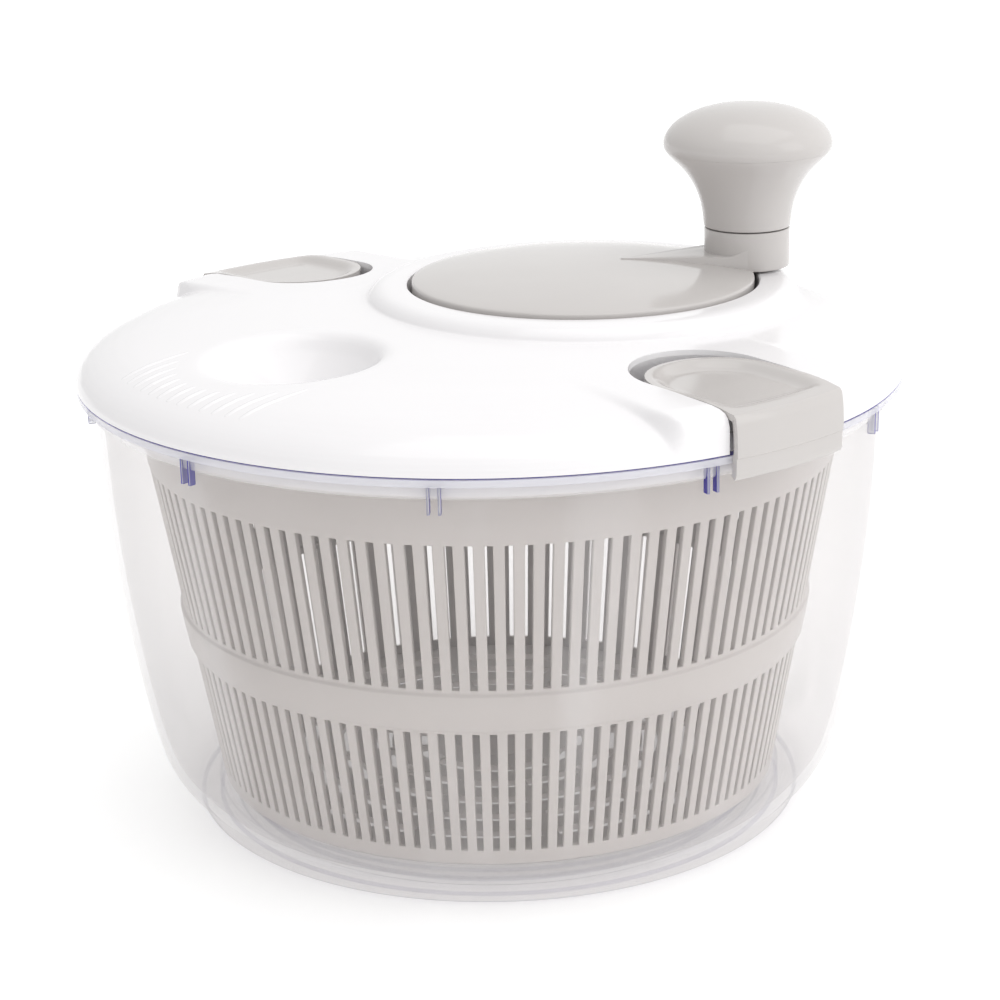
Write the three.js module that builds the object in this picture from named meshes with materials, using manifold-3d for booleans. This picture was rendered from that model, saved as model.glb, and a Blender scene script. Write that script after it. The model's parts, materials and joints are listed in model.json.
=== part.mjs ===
// Hand-cranked salad spinner: clear bowl, slotted basket, geared lid with two rim clips and a crank knob.
// Millimetres, +Z up. Origin: on the bowl's axis, at the surface that the foot stands on.
// The two clips lie on +X and -X, the crank's axis lies towards +Y, and the pouring dish towards -Y.
import * as THREE from 'three';
import { mergeVertices } from 'three/addons/utils/BufferGeometryUtils.js';
import Module from 'manifold-3d';

const wasm = await Module();
wasm.setup();

// ---- driving dimensions ----
const gap = 0.3; // between pieces that touch
const rimRadius = 125; // outer edge of the bowl's rim and of the lid
const rimHeight = 136.3; // top of the bowl's rim
const footRadius = 95.3;
const crankOffset = 38.4; // from the bowl's axis to the crank's axis
const discRadius = 53.6;
const collarBore = 54.9;
const collarRadius = 68;
const knobReach = 54.5; // from the crank's axis to the knob's axis
const knobAngle = THREE.MathUtils.degToRad(65);
const bossRadius = 13.6;
const bossBottom = 156.2;
const bossTop = 168.6;
const discCrown = 161.2;
const dishOffset = 73;
const dishRadius = 26.5;
const spoutRadius = 9;
const clipHalfWidth = 20.5;
const clipInnerX = 78; // inner end of each clip's pad
const pocketInnerX = 70;
const pocketHalfWidth = 22;
const shoulderHalfWidth = 35; // flat shoulders of the lid on each side of a clip
const pocketFloor = 138.6;
const clipPinX = 112;
const clipPinHeight = 142;
const clipPinRadius = 1.4;
const springX = 93; // from the bowl's axis to each clip's return spring
const plateRadius = 113;
const plateBottom = 133;
const plateTop = 135;
const gearModule = 1.6;
const ringTeeth = 60;
const pinionTeeth = 12;
const backlash = 0.28;
const screwCircle = 106; // underplate screws
const slotCount = 32; // in each row of the basket
const roundSegments = 40; // facets round the large shells

// ---- colours and finishes ----
const clearPlastic = { color: 0xe9e9f4, roughness: 0.08, metalness: 0 };
const whitePlastic = { color: 0xf4f4f2, roughness: 0.25, metalness: 0 };
const greyPlastic = { color: 0xc7c4be, roughness: 0.35, metalness: 0 };
const basketPlastic = { color: 0xcdc8c3, roughness: 0.45, metalness: 0 };
const gearPlastic = { color: 0xe6e2d6, roughness: 0.5, metalness: 0 };
const steel = { color: 0xb8babd, roughness: 0.3, metalness: 1 };

// ---- helpers ----

// A closed geometry as a manifold solid, with shared vertices merged and faces pointing out.
function solid(geometry) {
  const bare = geometry.index ? geometry.toNonIndexed() : geometry.clone();
  bare.deleteAttribute('normal');
  bare.deleteAttribute('uv');
  const merged = mergeVertices(bare, 1e-4);
  const place = merged.attributes.position;
  const corners = merged.index.array;
  const kept = [];
  let volume = 0;
  const a = new THREE.Vector3();
  const b = new THREE.Vector3();
  const c = new THREE.Vector3();
  for (let i = 0; i < corners.length; i += 3) {
    const [p, q, r] = [corners[i], corners[i + 1], corners[i + 2]];
    if (p === q || q === r || r === p) continue;
    kept.push(p, q, r);
    a.fromBufferAttribute(place, p);
    b.fromBufferAttribute(place, q);
    c.fromBufferAttribute(place, r);
    volume += a.dot(b.cross(c));
  }
  const triVerts = Uint32Array.from(volume > 0 ? kept : kept.reverse());
  return new wasm.Manifold(new wasm.Mesh({ numProp: 3, vertProperties: place.array, triVerts }));
}

function toGeometry(body) {
  const mesh = body.getMesh();
  const geometry = new THREE.BufferGeometry();
  const positions = new Float32Array(mesh.numVert * 3);
  for (let i = 0; i < mesh.numVert; i += 1) {
    for (let k = 0; k < 3; k += 1) {
      positions[3 * i + k] = mesh.vertProperties[mesh.numProp * i + k];
    }
  }
  geometry.setAttribute('position', new THREE.BufferAttribute(positions, 3));
  geometry.setIndex(new THREE.BufferAttribute(new Uint32Array(mesh.triVerts), 1));
  geometry.computeVertexNormals();
  return geometry;
}

// A solid turned about a vertical axis at (x, y); the profile is a list of [radius, height].
function turned(profile, segments, x = 0, y = 0) {
  const points = profile.map(([radius, height]) => new THREE.Vector2(radius, height));
  const onAxis = profile[0][0] === 0 && profile[profile.length - 1][0] === 0;
  if (!onAxis) points.push(points[0].clone());
  const geometry = new THREE.LatheGeometry(points, segments);
  geometry.rotateX(Math.PI / 2);
  geometry.translate(x, y, 0);
  return solid(geometry);
}

function rod(radius, low, high, segments, x = 0, y = 0) {
  return turned([[0, low], [radius, low], [radius, high], [0, high]], segments, x, y);
}

function tube(inner, outer, low, high, segments, x = 0, y = 0) {
  return turned([[inner, low], [outer, low], [outer, high], [inner, high]], segments, x, y);
}

function block(lowX, highX, lowY, highY, lowZ, highZ) {
  const geometry = new THREE.BoxGeometry(highX - lowX, highY - lowY, highZ - lowZ);
  geometry.translate((lowX + highX) / 2, (lowY + highY) / 2, (lowZ + highZ) / 2);
  return solid(geometry);
}

// A plan outline of [x, y] points or a Shape, raised from low to high.
function raised(outline, low, high) {
  const drawn = outline instanceof THREE.Shape;
  const shape = drawn ? outline : new THREE.Shape(outline.map(([x, y]) => new THREE.Vector2(x, y)));
  const geometry = new THREE.ExtrudeGeometry(shape, { depth: high - low, bevelEnabled: false, curveSegments: 6 });
  geometry.translate(0, 0, low);
  return solid(geometry);
}

// A side outline of [x, z] points, drawn across the width from -halfWidth to +halfWidth in Y.
function sideProfile(outline, halfWidth) {
  const shape = new THREE.Shape(outline.map(([x, z]) => new THREE.Vector2(x, z)));
  const geometry = new THREE.ExtrudeGeometry(shape, { depth: 2 * halfWidth, bevelEnabled: false });
  geometry.rotateX(Math.PI / 2);
  geometry.translate(0, halfWidth, 0);
  return solid(geometry);
}

function crossRod(radius, x, z, lowY, highY, segments) {
  const geometry = new THREE.CylinderGeometry(radius, radius, highY - lowY, segments);
  geometry.translate(x, (lowY + highY) / 2, z);
  return solid(geometry);
}

// A stadium outline: a straight strip from outerX inwards, with a round inner end.
function fingerOutline(innerX, outerX, halfWidth) {
  const shape = new THREE.Shape();
  shape.moveTo(outerX, -halfWidth);
  shape.lineTo(outerX, halfWidth);
  shape.lineTo(innerX + halfWidth, halfWidth);
  shape.absarc(innerX + halfWidth, 0, halfWidth, Math.PI / 2, 1.5 * Math.PI, false);
  shape.closePath();
  return shape;
}

function joined(first, ...others) {
  return others.reduce((whole, next) => whole.add(next), first);
}

function without(first, ...others) {
  return others.reduce((whole, next) => whole.subtract(next), first);
}

// Points of an involute tooth outline, whose teeth are thinner than half a pitch by the given backlash.
function gearOutline(teeth, tipRadius, rootRadius, thinning, phase, flankSteps) {
  const pitchRadius = (gearModule * teeth) / 2;
  const pressure = THREE.MathUtils.degToRad(20);
  const baseRadius = pitchRadius * Math.cos(pressure);
  const involute = (angle) => Math.tan(angle) - angle;
  const halfAtPitch = Math.PI / (2 * teeth) - thinning / (2 * pitchRadius);
  const startRadius = Math.max(rootRadius, baseRadius);
  const outline = [];
  for (let tooth = 0; tooth < teeth; tooth += 1) {
    const middle = phase + (2 * Math.PI * tooth) / teeth;
    const flank = [];
    for (let step = 0; step <= flankSteps; step += 1) {
      const radius = startRadius + ((tipRadius - startRadius) * step) / flankSteps;
      const turn = involute(Math.acos(Math.min(1, baseRadius / radius)));
      flank.push([radius, halfAtPitch + involute(pressure) - turn]);
    }
    if (rootRadius < startRadius - 0.05) flank.unshift([rootRadius, flank[0][1]]);
    const point = ([radius, angle]) => [radius * Math.cos(middle + angle), radius * Math.sin(middle + angle)];
    flank.forEach(([radius, angle]) => outline.push(point([radius, -angle])));
    flank.reverse().forEach(([radius, angle]) => outline.push(point([radius, angle])));
  }
  return outline;
}

// A screw standing along Z with its head at the lower end.
function screwFromBelow(x, y, headLow, headHeight, headRadius, shankRadius, tip) {
  const headTop = headLow + headHeight;
  const socket = rod(headRadius * 0.45, headLow - 1, headLow + headHeight * 0.55, 6, x, y);
  const body = turned([
    [0, headLow], [headRadius * 0.85, headLow], [headRadius, headLow + headHeight * 0.4], [headRadius, headTop],
    [shankRadius, headTop], [shankRadius, tip - shankRadius], [0, tip],
  ], 6, x, y);
  return without(body, socket);
}

const group = new THREE.Group();

function piece(name, body, finish) {
  const mesh = new THREE.Mesh(toGeometry(body), new THREE.MeshStandardMaterial(finish));
  mesh.name = name;
  group.add(mesh);
}

// ---- bowl ----
// Clear shell with a foot ring, a stepped floor, a cone in the middle and a flanged rim.
const bowlShell = turned([
  [0, 6.2], [4, 6.2], [7, 2.6], [78, 2.6], [80, 0], [93.5, 0], [footRadius, 1.4], [96.2, 6.8], [102, 11.5],
  [106, 18], [112.6, 48.8], [116.3, 73.8], [118.7, 98.8], [120, 129.4], [121.7, 133.8], [rimRadius, 133.9],
  [rimRadius, rimHeight], [120.9, rimHeight], [119.4, 132.5], [116.4, 98.8], [114, 73.8], [110.3, 48.8],
  [103.7, 18.8], [92.5, 5.6], [12, 5], [9, 9], [2.2, 12.4], [0, 12.4],
], roundSegments);
// Ten short double ribs under the rim, one of them close beside each clip.
const ribPitch = Math.PI / 5;
const firstRib = THREE.MathUtils.degToRad(-83);
const rimRibs = [];
for (let i = 0; i < 10; i += 1) {
  const angle = firstRib + i * ribPitch;
  const geometry = new THREE.BoxGeometry(2.6, 3.4, 8.2);
  geometry.translate(121.1, 0, 129.6);
  geometry.rotateZ(angle);
  rimRibs.push(solid(geometry));
}
piece('bowl', joined(bowlShell, ...rimRibs), clearPlastic);

// ---- pivot bush: the wear cap that stays on the bowl's cone while the basket turns round it ----
piece('pivot_bush', turned([
  [0, 12.9], [2.5, 12.9], [9.4, 9.3], [10.6, 7.2], [12.2, 7.2], [12.2, 8.8], [10.4, 10.6], [5.2, 14.2],
  [5.2, 17], [7.4, 17], [6.6, 18.2], [0, 18.2],
], 16), gearPlastic);

// ---- basket ----
const lowerSlots = { low: 13.5, high: 53.2 };
const upperSlots = { low: 65.8, high: 111.6 };
const basketWall = turned([
  [5.6, 14.6], [11, 11], [12.9, 9.6], [80, 9.6], [80, 6.6], [82.4, 6.6], [86.6, 8.6], [98.1, 53.5],
  [100.2, 54.2], [101, 65.4], [99.9, 65.8], [107, 130.5], [105, 130.5], [97.9, 65.8], [96.2, 53.5],
  [84.8, 11.6], [15, 11.6], [12.6, 12.8], [7.4, 16.6], [5.6, 16.6],
], slotCount);
const slotAngle = (2 * Math.PI) / slotCount;
function slotCutter(row, index) {
  const middle = (row.low + row.high) / 2;
  const radius = 87.4 + (18.6 * (middle - 10.5)) / 119;
  const geometry = new THREE.BoxGeometry(12, slotAngle * radius * 0.55, row.high - row.low);
  geometry.rotateY(Math.atan(18.6 / 119));
  geometry.translate(radius - 1, 0, middle);
  geometry.rotateZ((index + 0.5) * slotAngle);
  return solid(geometry);
}
const basketCuts = [];
for (let i = 0; i < slotCount; i += 1) {
  basketCuts.push(slotCutter(lowerSlots, i), slotCutter(upperSlots, i));
}
// Arc slots through the floor, in two rings, and six notches in the rim for the rotor's lugs.
for (const floorRing of [{ inner: 30, outer: 36 }, { inner: 56, outer: 62 }]) {
  for (let i = 0; i < 6; i += 1) {
    const shape = new THREE.Shape();
    const start = (i * Math.PI) / 3 + 0.12;
    const end = ((i + 1) * Math.PI) / 3 - 0.12;
    shape.absarc(0, 0, floorRing.outer, start, end, false);
    shape.absarc(0, 0, floorRing.inner, end, start, true);
    const geometry = new THREE.ExtrudeGeometry(shape, { depth: 6, bevelEnabled: false, curveSegments: 3 });
    geometry.translate(0, 0, 8);
    basketCuts.push(solid(geometry));
  }
}
const lugCount = 6;
function aroundAxis(lowX, highX, halfWidth, low, high, angle) {
  const geometry = new THREE.BoxGeometry(highX - lowX, 2 * halfWidth, high - low);
  geometry.translate((lowX + highX) / 2, 0, (low + high) / 2);
  geometry.rotateZ(angle);
  return solid(geometry);
}
for (let i = 0; i < lugCount; i += 1) {
  basketCuts.push(aroundAxis(98, 112, 3.6, 127.1, 133, (i * Math.PI) / 3));
}
piece('basket', without(basketWall, ...basketCuts), basketPlastic);

// ---- lid cover ----
const lidOuter = turned([
  [0, 130], [rimRadius, 130], [rimRadius, 137.8], [123.6, 140.8], [120.2, 143.6], [113, 146.4], [102, 148.6],
  [84, 150.3], [58, 151.4], [0, 152.2],
], roundSegments);
const lidInner = turned([
  [0, 120], [122.9, 120], [122.9, 137.4], [121.6, 139.8], [118.8, 141.9], [112.4, 144.3], [101.6, 146.5],
  [83.8, 148.2], [58, 149.3], [0, 150.1],
], roundSegments);
const shoulderOuter = turned([
  [0, 130], [rimRadius, 130], [rimRadius, 144], [124.4, 146.2], [122.6, 147.8], [118, 148.8], [102, 149.8],
  [84, 150.5], [58, 151.4], [0, 152.2],
], roundSegments).intersect(block(-140, 140, -shoulderHalfWidth, shoulderHalfWidth, 120, 160));
const shoulderInner = turned([
  [0, 120], [122.9, 120], [122.9, 143.6], [121.6, 145.8], [117.8, 146.7], [101.8, 147.7], [83.8, 148.4],
  [58, 149.3], [0, 150.1],
], roundSegments).intersect(block(-140, 140, 2 - shoulderHalfWidth, shoulderHalfWidth - 2, 110, 160));
const collarOuter = turned([
  [0, 140], [collarRadius, 140], [collarRadius, 151], [66.6, 153.6], [64.4, 155], [61.5, 155.6], [0, 155.6],
], roundSegments, 0, crankOffset);
const collarInner = turned([
  [0, 130], [65.8, 130], [65.8, 150.2], [64.8, 152.2], [63, 153.2], [61, 153.5], [0, 153.5],
], roundSegments, 0, crankOffset);
const aboveRim = turned([
  [0, rimHeight + gap], [130, rimHeight + gap], [130, 170], [0, 170],
], roundSegments);
const skirt = tube(115.8, 117.8, 129.2, 143.4, roundSegments);
const boreWall = tube(collarBore, 57, 141, 154.6, roundSegments, 0, crankOffset);
const bore = rod(collarBore, 120, 170, roundSegments, 0, crankOffset);
const spoutWall = 2;
const spout = turned([
  [spoutRadius, 130.8], [spoutRadius + spoutWall, 130.8], [spoutRadius + spoutWall, 135.8], [13.4, 137.2],
  [18, 140.2], [23, 144.2], [dishRadius + 2, 147.6], [dishRadius + 2, 149], [spoutRadius, 149],
], 20, 0, -dishOffset);
const dishHollow = turned([
  [0, 120], [spoutRadius, 120], [spoutRadius, 137], [11, 138], [15, 140.6], [20, 144.2], [24, 147.6],
  [dishRadius, 149.8], [dishRadius + 1.4, 151.2], [dishRadius + 1.4, 160], [0, 160],
], 20, 0, -dishOffset);
const lidSolid = joined(lidOuter, shoulderOuter, collarOuter);
const lidHollow = joined(lidInner, shoulderInner, collarInner);
let lidCover = joined(without(lidSolid, lidHollow).intersect(aboveRim), skirt, boreWall, spout);
lidCover = lidCover.intersect(lidSolid.add(rod(119, 120, 131, roundSegments)));
lidCover = without(lidCover, bore, dishHollow);
// Pockets for the clips, open at the rim, each with two ears for the hinge pin.
for (const side of [1, -1]) {
  const turn = (body) => (side > 0 ? body : body.rotate([0, 0, 180]));
  const casing = raised(fingerOutline(pocketInnerX - 2, 116.4, pocketHalfWidth + 2), pocketFloor - 2, 160);
  const hollow = raised(fingerOutline(pocketInnerX, 140, pocketHalfWidth), pocketFloor, 160);
  const mouth = block(118.4, 140, -pocketHalfWidth, pocketHalfWidth, rimHeight, 160);
  const earPlaces = [[15.2, 19.4], [-19.4, -15.2]];
  const ears = earPlaces.map(([low, high]) => block(clipPinX - 3.2, clipPinX + 3.2, low, high, pocketFloor - 1, 144.2));
  const pinHole = crossRod(clipPinRadius + gap, clipPinX, clipPinHeight, -30, 30, 12);
  const earHoles = pinHole.intersect(block(100, 118, -21, 21, 130, 150));
  lidCover = joined(lidCover, turn(casing).intersect(lidSolid));
  lidCover = without(lidCover, turn(hollow), turn(mouth));
  lidCover = without(joined(lidCover, ...ears.map(turn)), turn(earHoles));
}
// Bosses for the underplate's screws.
const screwAngles = [35, 90, 145, 215, 270, 325].map((degrees) => THREE.MathUtils.degToRad(degrees));
const screwPlaces = screwAngles.map((angle) => [screwCircle * Math.cos(angle), screwCircle * Math.sin(angle)]);
for (const [x, y] of screwPlaces) {
  const boss = rod(3.6, plateTop + gap, 145.6, 8, x, y).intersect(lidOuter);
  lidCover = without(joined(lidCover, boss), rod(1.8, 120, 143, 8, x, y));
}
piece('lid_cover', lidCover, whitePlastic);

// ---- underplate: closes the gear space and carries both bearings ----
let underplate = rod(plateRadius, plateBottom, plateTop, roundSegments);
underplate = joined(underplate, tube(9.3, 12, plateBottom, 141.4, 24, 0, crankOffset));
underplate = joined(underplate, tube(5.3, 8.4, 129.6, 140, 24));
underplate = without(
  underplate,
  rod(9.3, 120, 150, 24, 0, crankOffset),
  rod(5.3, 120, 150, 24),
  rod(spoutRadius + 2.6, 120, 150, 20, 0, -dishOffset),
  ...screwPlaces.map(([x, y]) => rod(1.8, 120, 150, 8, x, y)),
);
piece('lid_underplate', underplate, whitePlastic);
screwPlaces.forEach(([x, y], index) => {
  piece(`underplate_screw_${index + 1}`, screwFromBelow(x, y, 130.9, 1.8, 3.2, 1.4, 142.4), steel);
});

// ---- rim clips, their pins and return springs ----
// The outer face follows the rim, the hook under it stands clear as the clip swings, and the pad is dished.
const clipOuter = turned([
  [0, 129.5], [126.8, 129.5], [127.4, 131], [127.8, 136], [127.6, 142], [127, 145.4], [125.8, 147.6],
  [114, 149.2], [100, 149.6], [84, 149.8], [0, 149.8],
], roundSegments);
const clipInner = turned([
  [0, 120], [124, 120], [124, 132.4], [125.4, 132.4], [125.8, 134], [125.8, 141], [124.8, 144.4], [122.6, 145.3],
  [0, 145.3],
], roundSegments);
const panSide = [
  [80, 150.6], [82, 149.2], [86, 147.8], [94, 147.3], [108, 147.3], [117, 147.7], [120.5, 148.4], [123, 150.6],
];
for (const [side, name] of [[1, 'right'], [-1, 'left']]) {
  const turn = (body) => (side > 0 ? body : body.rotate([0, 0, 180]));
  const plan = raised(fingerOutline(clipInnerX, 135, clipHalfWidth), 120, 160);
  const panPlan = raised(fingerOutline(clipInnerX + 2, 130, clipHalfWidth - 2), 120, 160);
  const pan = sideProfile(panSide, 30).intersect(panPlan);
  const barrel = crossRod(3, clipPinX, clipPinHeight, -14.6, 14.6, 14);
  const web = block(clipPinX - 2.4, clipPinX + 2.4, -14.6, 14.6, clipPinHeight, 146);
  const hole = crossRod(clipPinRadius + gap, clipPinX, clipPinHeight, -30, 30, 12);
  const shell = without(clipOuter.intersect(plan), clipInner, pan);
  piece(`clip_${name}`, turn(without(joined(shell, barrel, web), hole)), greyPlastic);
  piece(`clip_pin_${name}`, turn(crossRod(clipPinRadius, clipPinX, clipPinHeight, -19, 19, 12)), steel);
  const turns = 4;
  const coil = new THREE.CatmullRomCurve3(Array.from({ length: turns * 7 + 1 }, (_, step) => {
    const angle = (2 * step * Math.PI) / 7;
    const height = pocketFloor + 0.9 + (4.9 * step) / (turns * 7);
    return new THREE.Vector3(springX + 3 * Math.cos(angle), 3 * Math.sin(angle), height);
  }));
  const wire = new THREE.Shape();
  wire.absarc(0, 0, 0.38, 0, 2 * Math.PI, false);
  const spring = new THREE.ExtrudeGeometry(wire, { steps: turns * 7, extrudePath: coil, curveSegments: 2 });
  piece(`clip_spring_${name}`, turn(solid(spring)), steel);
}

// ---- crank: domed disc, its raised arm and the knob's boss ----
const knobX = knobReach * Math.cos(knobAngle);
const knobY = crankOffset + knobReach * Math.sin(knobAngle);
const discShell = turned([
  [0, discCrown], [16, 160.9], [30, 160], [42, 158.6], [50, 157.4], [52.8, 156.8], [discRadius, 155.8],
  [discRadius, 150], [51.6, 150], [51.6, 154.4], [42, 156.4], [30, 157.8], [16, 158.7], [0, 159],
], roundSegments, 0, crankOffset);
const hub = turned([
  [0, 160], [13, 159.6], [13, 144.2], [7, 144.2], [7, 133.4], [0, 133.4],
], 24, 0, crankOffset);
const alongArm = (body) => body.rotate([0, 0, THREE.MathUtils.radToDeg(knobAngle)]).translate([0, crankOffset, 0]);
const armStart = 12.5;
const armSide = [
  [armStart, 160], [armStart, discCrown], [38, discCrown], [41.5, discCrown + 0.8], [44, discCrown + 3],
  [knobReach, discCrown + 4], [knobReach, bossBottom + 0.2], [48, bossBottom + 0.2], [42, 157.6], [30, 159],
];
const armPlan = raised([
  [armStart - 1, -0.4], [knobReach - 4.4, 0.4 - bossRadius], [knobReach, 0.4 - bossRadius],
  [knobReach, bossRadius - 0.4], [knobReach - 4.4, bossRadius - 0.4], [armStart - 1, 0.4],
], 150, 180);
const arm = alongArm(sideProfile(armSide, 20).intersect(armPlan));
const boss = turned([
  [0, bossBottom], [bossRadius - 0.4, bossBottom], [bossRadius, bossBottom + 0.6], [bossRadius, bossTop], [0, bossTop],
], 24, knobX, knobY);
const gearScrewPlaces = [0, 1, 2, 3].map((index) => {
  const angle = knobAngle + Math.PI / 4 + (index * Math.PI) / 2;
  return [44 * Math.cos(angle), crankOffset + 44 * Math.sin(angle)];
});
let crankDisc = joined(discShell, hub, arm, boss);
for (const [x, y] of gearScrewPlaces) {
  crankDisc = without(joined(crankDisc, rod(3.4, 149.9, 156.4, 8, x, y)), rod(1.6, 140, 154, 8, x, y));
}
crankDisc = without(
  crankDisc,
  rod(2.9, 120, 150, 12, 0, crankOffset),
  rod(4.3, 150, 180, 20, knobX, knobY),
  rod(7, 150, 160.4, 20, knobX, knobY),
);
piece('crank_disc', crankDisc, greyPlastic);

// ---- crank bearing: bushing, retaining washer and centre screw ----
piece('crank_bushing', turned([
  [7.3, 133.4], [9, 133.4], [9, 141.7], [12.4, 141.7], [12.4, 143.8], [7.3, 143.8],
], 24, 0, crankOffset), gearPlastic);
piece('crank_retainer', tube(3, 11.4, 131.4, 132.7, 24, 0, crankOffset), steel);
piece('crank_centre_screw', screwFromBelow(0, crankOffset, 128.8, 2.3, 5, 2.6, 147), steel);

// ---- ring gear under the disc, and its screws ----
const ringPitchRadius = (gearModule * ringTeeth) / 2;
const ringOuter = 52.4;
const ringVoid = raised(
  gearOutline(ringTeeth, ringPitchRadius + 1.9, ringPitchRadius - 0.9, -backlash / 2, -Math.PI / 2, 1),
  130,
  147.7,
).translate([0, crankOffset, 0]);
const ringFlange = tube(41, ringOuter, 147.4, 149.6, roundSegments, 0, crankOffset);
let ringGear = without(rod(ringOuter, 140, 147.6, roundSegments, 0, crankOffset), ringVoid);
ringGear = joined(ringGear, ringFlange);
ringGear = without(ringGear, ...gearScrewPlaces.map(([x, y]) => rod(1.6, 140, 160, 8, x, y)));
piece('ring_gear', ringGear, gearPlastic);
gearScrewPlaces.forEach(([x, y], index) => {
  piece(`gear_screw_${index + 1}`, screwFromBelow(x, y, 145.6, 1.5, 2.6, 1.3, 153.6), steel);
});

// ---- pinion, rotor and the screw that joins them ----
const pinionPitchRadius = (gearModule * pinionTeeth) / 2;
const pinionOutline = gearOutline(
  pinionTeeth, pinionPitchRadius + 1.5, pinionPitchRadius - 1.7, backlash / 2, -Math.PI / 2, 3,
);
const squareHole = block(-2.9, 2.9, -2.9, 2.9, 130, 150);
piece('pinion', without(raised(pinionOutline, 140.4, 143.8), squareHole), gearPlastic);

const rotorPlate = turned([
  [0, 124.6], [103.2, 124.6], [103.2, 130], [101, 130], [101, 127], [14, 127], [10, 129.2], [0, 129.2],
], roundSegments);
const rotorStem = joined(rod(5, 129, 139.9, 24), block(-2.6, 2.6, -2.6, 2.6, 139.5, 143.7));
const windows = [];
for (let i = 0; i < lugCount; i += 1) {
  const shape = new THREE.Shape();
  const start = (i * Math.PI) / 3 + 0.14;
  const end = ((i + 1) * Math.PI) / 3 - 0.14;
  shape.absarc(0, 0, 92, start, end, false);
  shape.absarc(0, 0, 30, end - 0.16, start + 0.16, true);
  const geometry = new THREE.ExtrudeGeometry(shape, { depth: 6, bevelEnabled: false, curveSegments: 5 });
  geometry.translate(0, 0, 122);
  windows.push(solid(geometry));
}
const lugs = Array.from({ length: lugCount }, (_, i) => (
  aroundAxis(101.6, 107.6, 2.8, 127.8, 130, (i * Math.PI) / 3)
));
const rotor = without(joined(without(rotorPlate, ...windows), rotorStem, ...lugs), rod(1.6, 131.5, 150, 8));
piece('rotor', rotor, whitePlastic);
piece('rotor_washer', tube(1.7, 5.4, 144, 144.8, 16), steel);
piece('rotor_screw', turned([
  [0, 132.5], [1.3, 133.6], [1.3, 145.1], [2.4, 145.1], [2.4, 146], [1.9, 146.7], [1, 146.7], [1, 146], [0, 146],
], 8), steel);

// ---- knob: steel spindle, turning grip, retaining washer and screw, and the cap that hides them ----
const spindle = without(turned([
  [0, 158.2], [6.4, 158.2], [6.4, 160.1], [4, 160.1], [4, 185], [0, 185],
], 20, knobX, knobY), rod(1.6, 175, 190, 12, knobX, knobY));
piece('knob_spindle', spindle, steel);
piece('knob_grip', turned([
  [4.3, bossTop + gap], [13.7, bossTop + gap], [13.9, 171], [14.5, 175.6], [15.7, 179.6], [17.9, 183.9],
  [21.4, 188.2], [24.8, 191.4], [25.7, 192.6], [24.6, 192.6], [20.6, 189.6], [17, 187], [14, 184.6], [4.3, 184.6],
], 20, knobX, knobY), greyPlastic);
piece('knob_washer', tube(1.7, 8, 185.3, 186.5, 20, knobX, knobY), steel);
piece('knob_screw', turned([
  [0, 177], [1.3, 178], [1.3, 186.8], [3.2, 186.8], [3.2, 187.8], [2.6, 188.8], [1.3, 188.8], [1.3, 187.8],
  [0, 187.8],
], 12, knobX, knobY), steel);
piece('knob_cap', turned([
  [25.8, 192.9], [26.5, 194.6], [26.2, 196.8], [24.6, 199.6], [21, 202.7], [15.2, 205.4], [8, 207], [0, 207.4],
  [0, 205.2], [9.6, 204.4], [16.6, 202.4], [21.2, 199.8], [23.6, 197.2], [24.2, 195.2], [23.8, 193.9], [23.6, 192.9],
], 20, knobX, knobY), greyPlastic);

export default group;
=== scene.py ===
import json
import math

import bpy
from mathutils import Matrix, Vector


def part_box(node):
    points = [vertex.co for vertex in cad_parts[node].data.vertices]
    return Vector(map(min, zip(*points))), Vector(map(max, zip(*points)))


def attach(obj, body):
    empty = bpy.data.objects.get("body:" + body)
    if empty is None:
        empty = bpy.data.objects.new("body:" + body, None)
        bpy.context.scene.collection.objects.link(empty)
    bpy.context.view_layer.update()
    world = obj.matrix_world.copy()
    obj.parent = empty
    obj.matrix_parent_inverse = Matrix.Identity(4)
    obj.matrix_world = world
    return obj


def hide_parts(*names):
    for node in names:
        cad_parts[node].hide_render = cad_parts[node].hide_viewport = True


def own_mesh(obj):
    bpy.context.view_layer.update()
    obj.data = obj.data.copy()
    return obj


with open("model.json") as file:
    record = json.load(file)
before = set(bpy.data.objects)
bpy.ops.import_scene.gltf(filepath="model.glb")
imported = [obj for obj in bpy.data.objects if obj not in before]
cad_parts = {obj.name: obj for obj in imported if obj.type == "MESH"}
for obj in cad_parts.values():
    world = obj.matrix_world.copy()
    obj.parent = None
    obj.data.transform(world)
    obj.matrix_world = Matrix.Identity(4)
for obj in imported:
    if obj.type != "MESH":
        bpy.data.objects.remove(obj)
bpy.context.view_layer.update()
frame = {"nodes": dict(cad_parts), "record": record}

mm = 0.001
joints = {joint["name"]: joint for joint in frame["record"]["behaviour"]["joints"]}
crankX, crankY = joints["crank_turn"]["pos_m"][:2]
knobX, knobY = joints["knob_spin"]["pos_m"][:2]
clipPinX, clipPinZ = joints["clip_right_release"]["pos_m"][0], joints["clip_right_release"]["pos_m"][2]
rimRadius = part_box("lid_cover")[1].y
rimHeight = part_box("bowl")[1].z
print("frame loaded, rim radius", round(rimRadius, 4), "rim height", round(rimHeight, 4))


def deselectAll():
    if bpy.context.mode != "OBJECT":
        bpy.ops.object.mode_set(mode="OBJECT")
    bpy.ops.object.select_all(action="DESELECT")


def makeActive(piece):
    deselectAll()
    piece.select_set(True)
    bpy.context.view_layer.objects.active = piece


def tidyMesh(piece, distance=0.002 * mm):
    makeActive(piece)
    bpy.ops.object.mode_set(mode="EDIT")
    bpy.ops.mesh.select_all(action="SELECT")
    bpy.ops.mesh.remove_doubles(threshold=distance)
    bpy.ops.mesh.delete_loose(use_verts=True, use_edges=True, use_faces=False)
    bpy.ops.mesh.select_all(action="SELECT")
    bpy.ops.mesh.normals_make_consistent(inside=False)
    bpy.ops.object.mode_set(mode="OBJECT")


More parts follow.
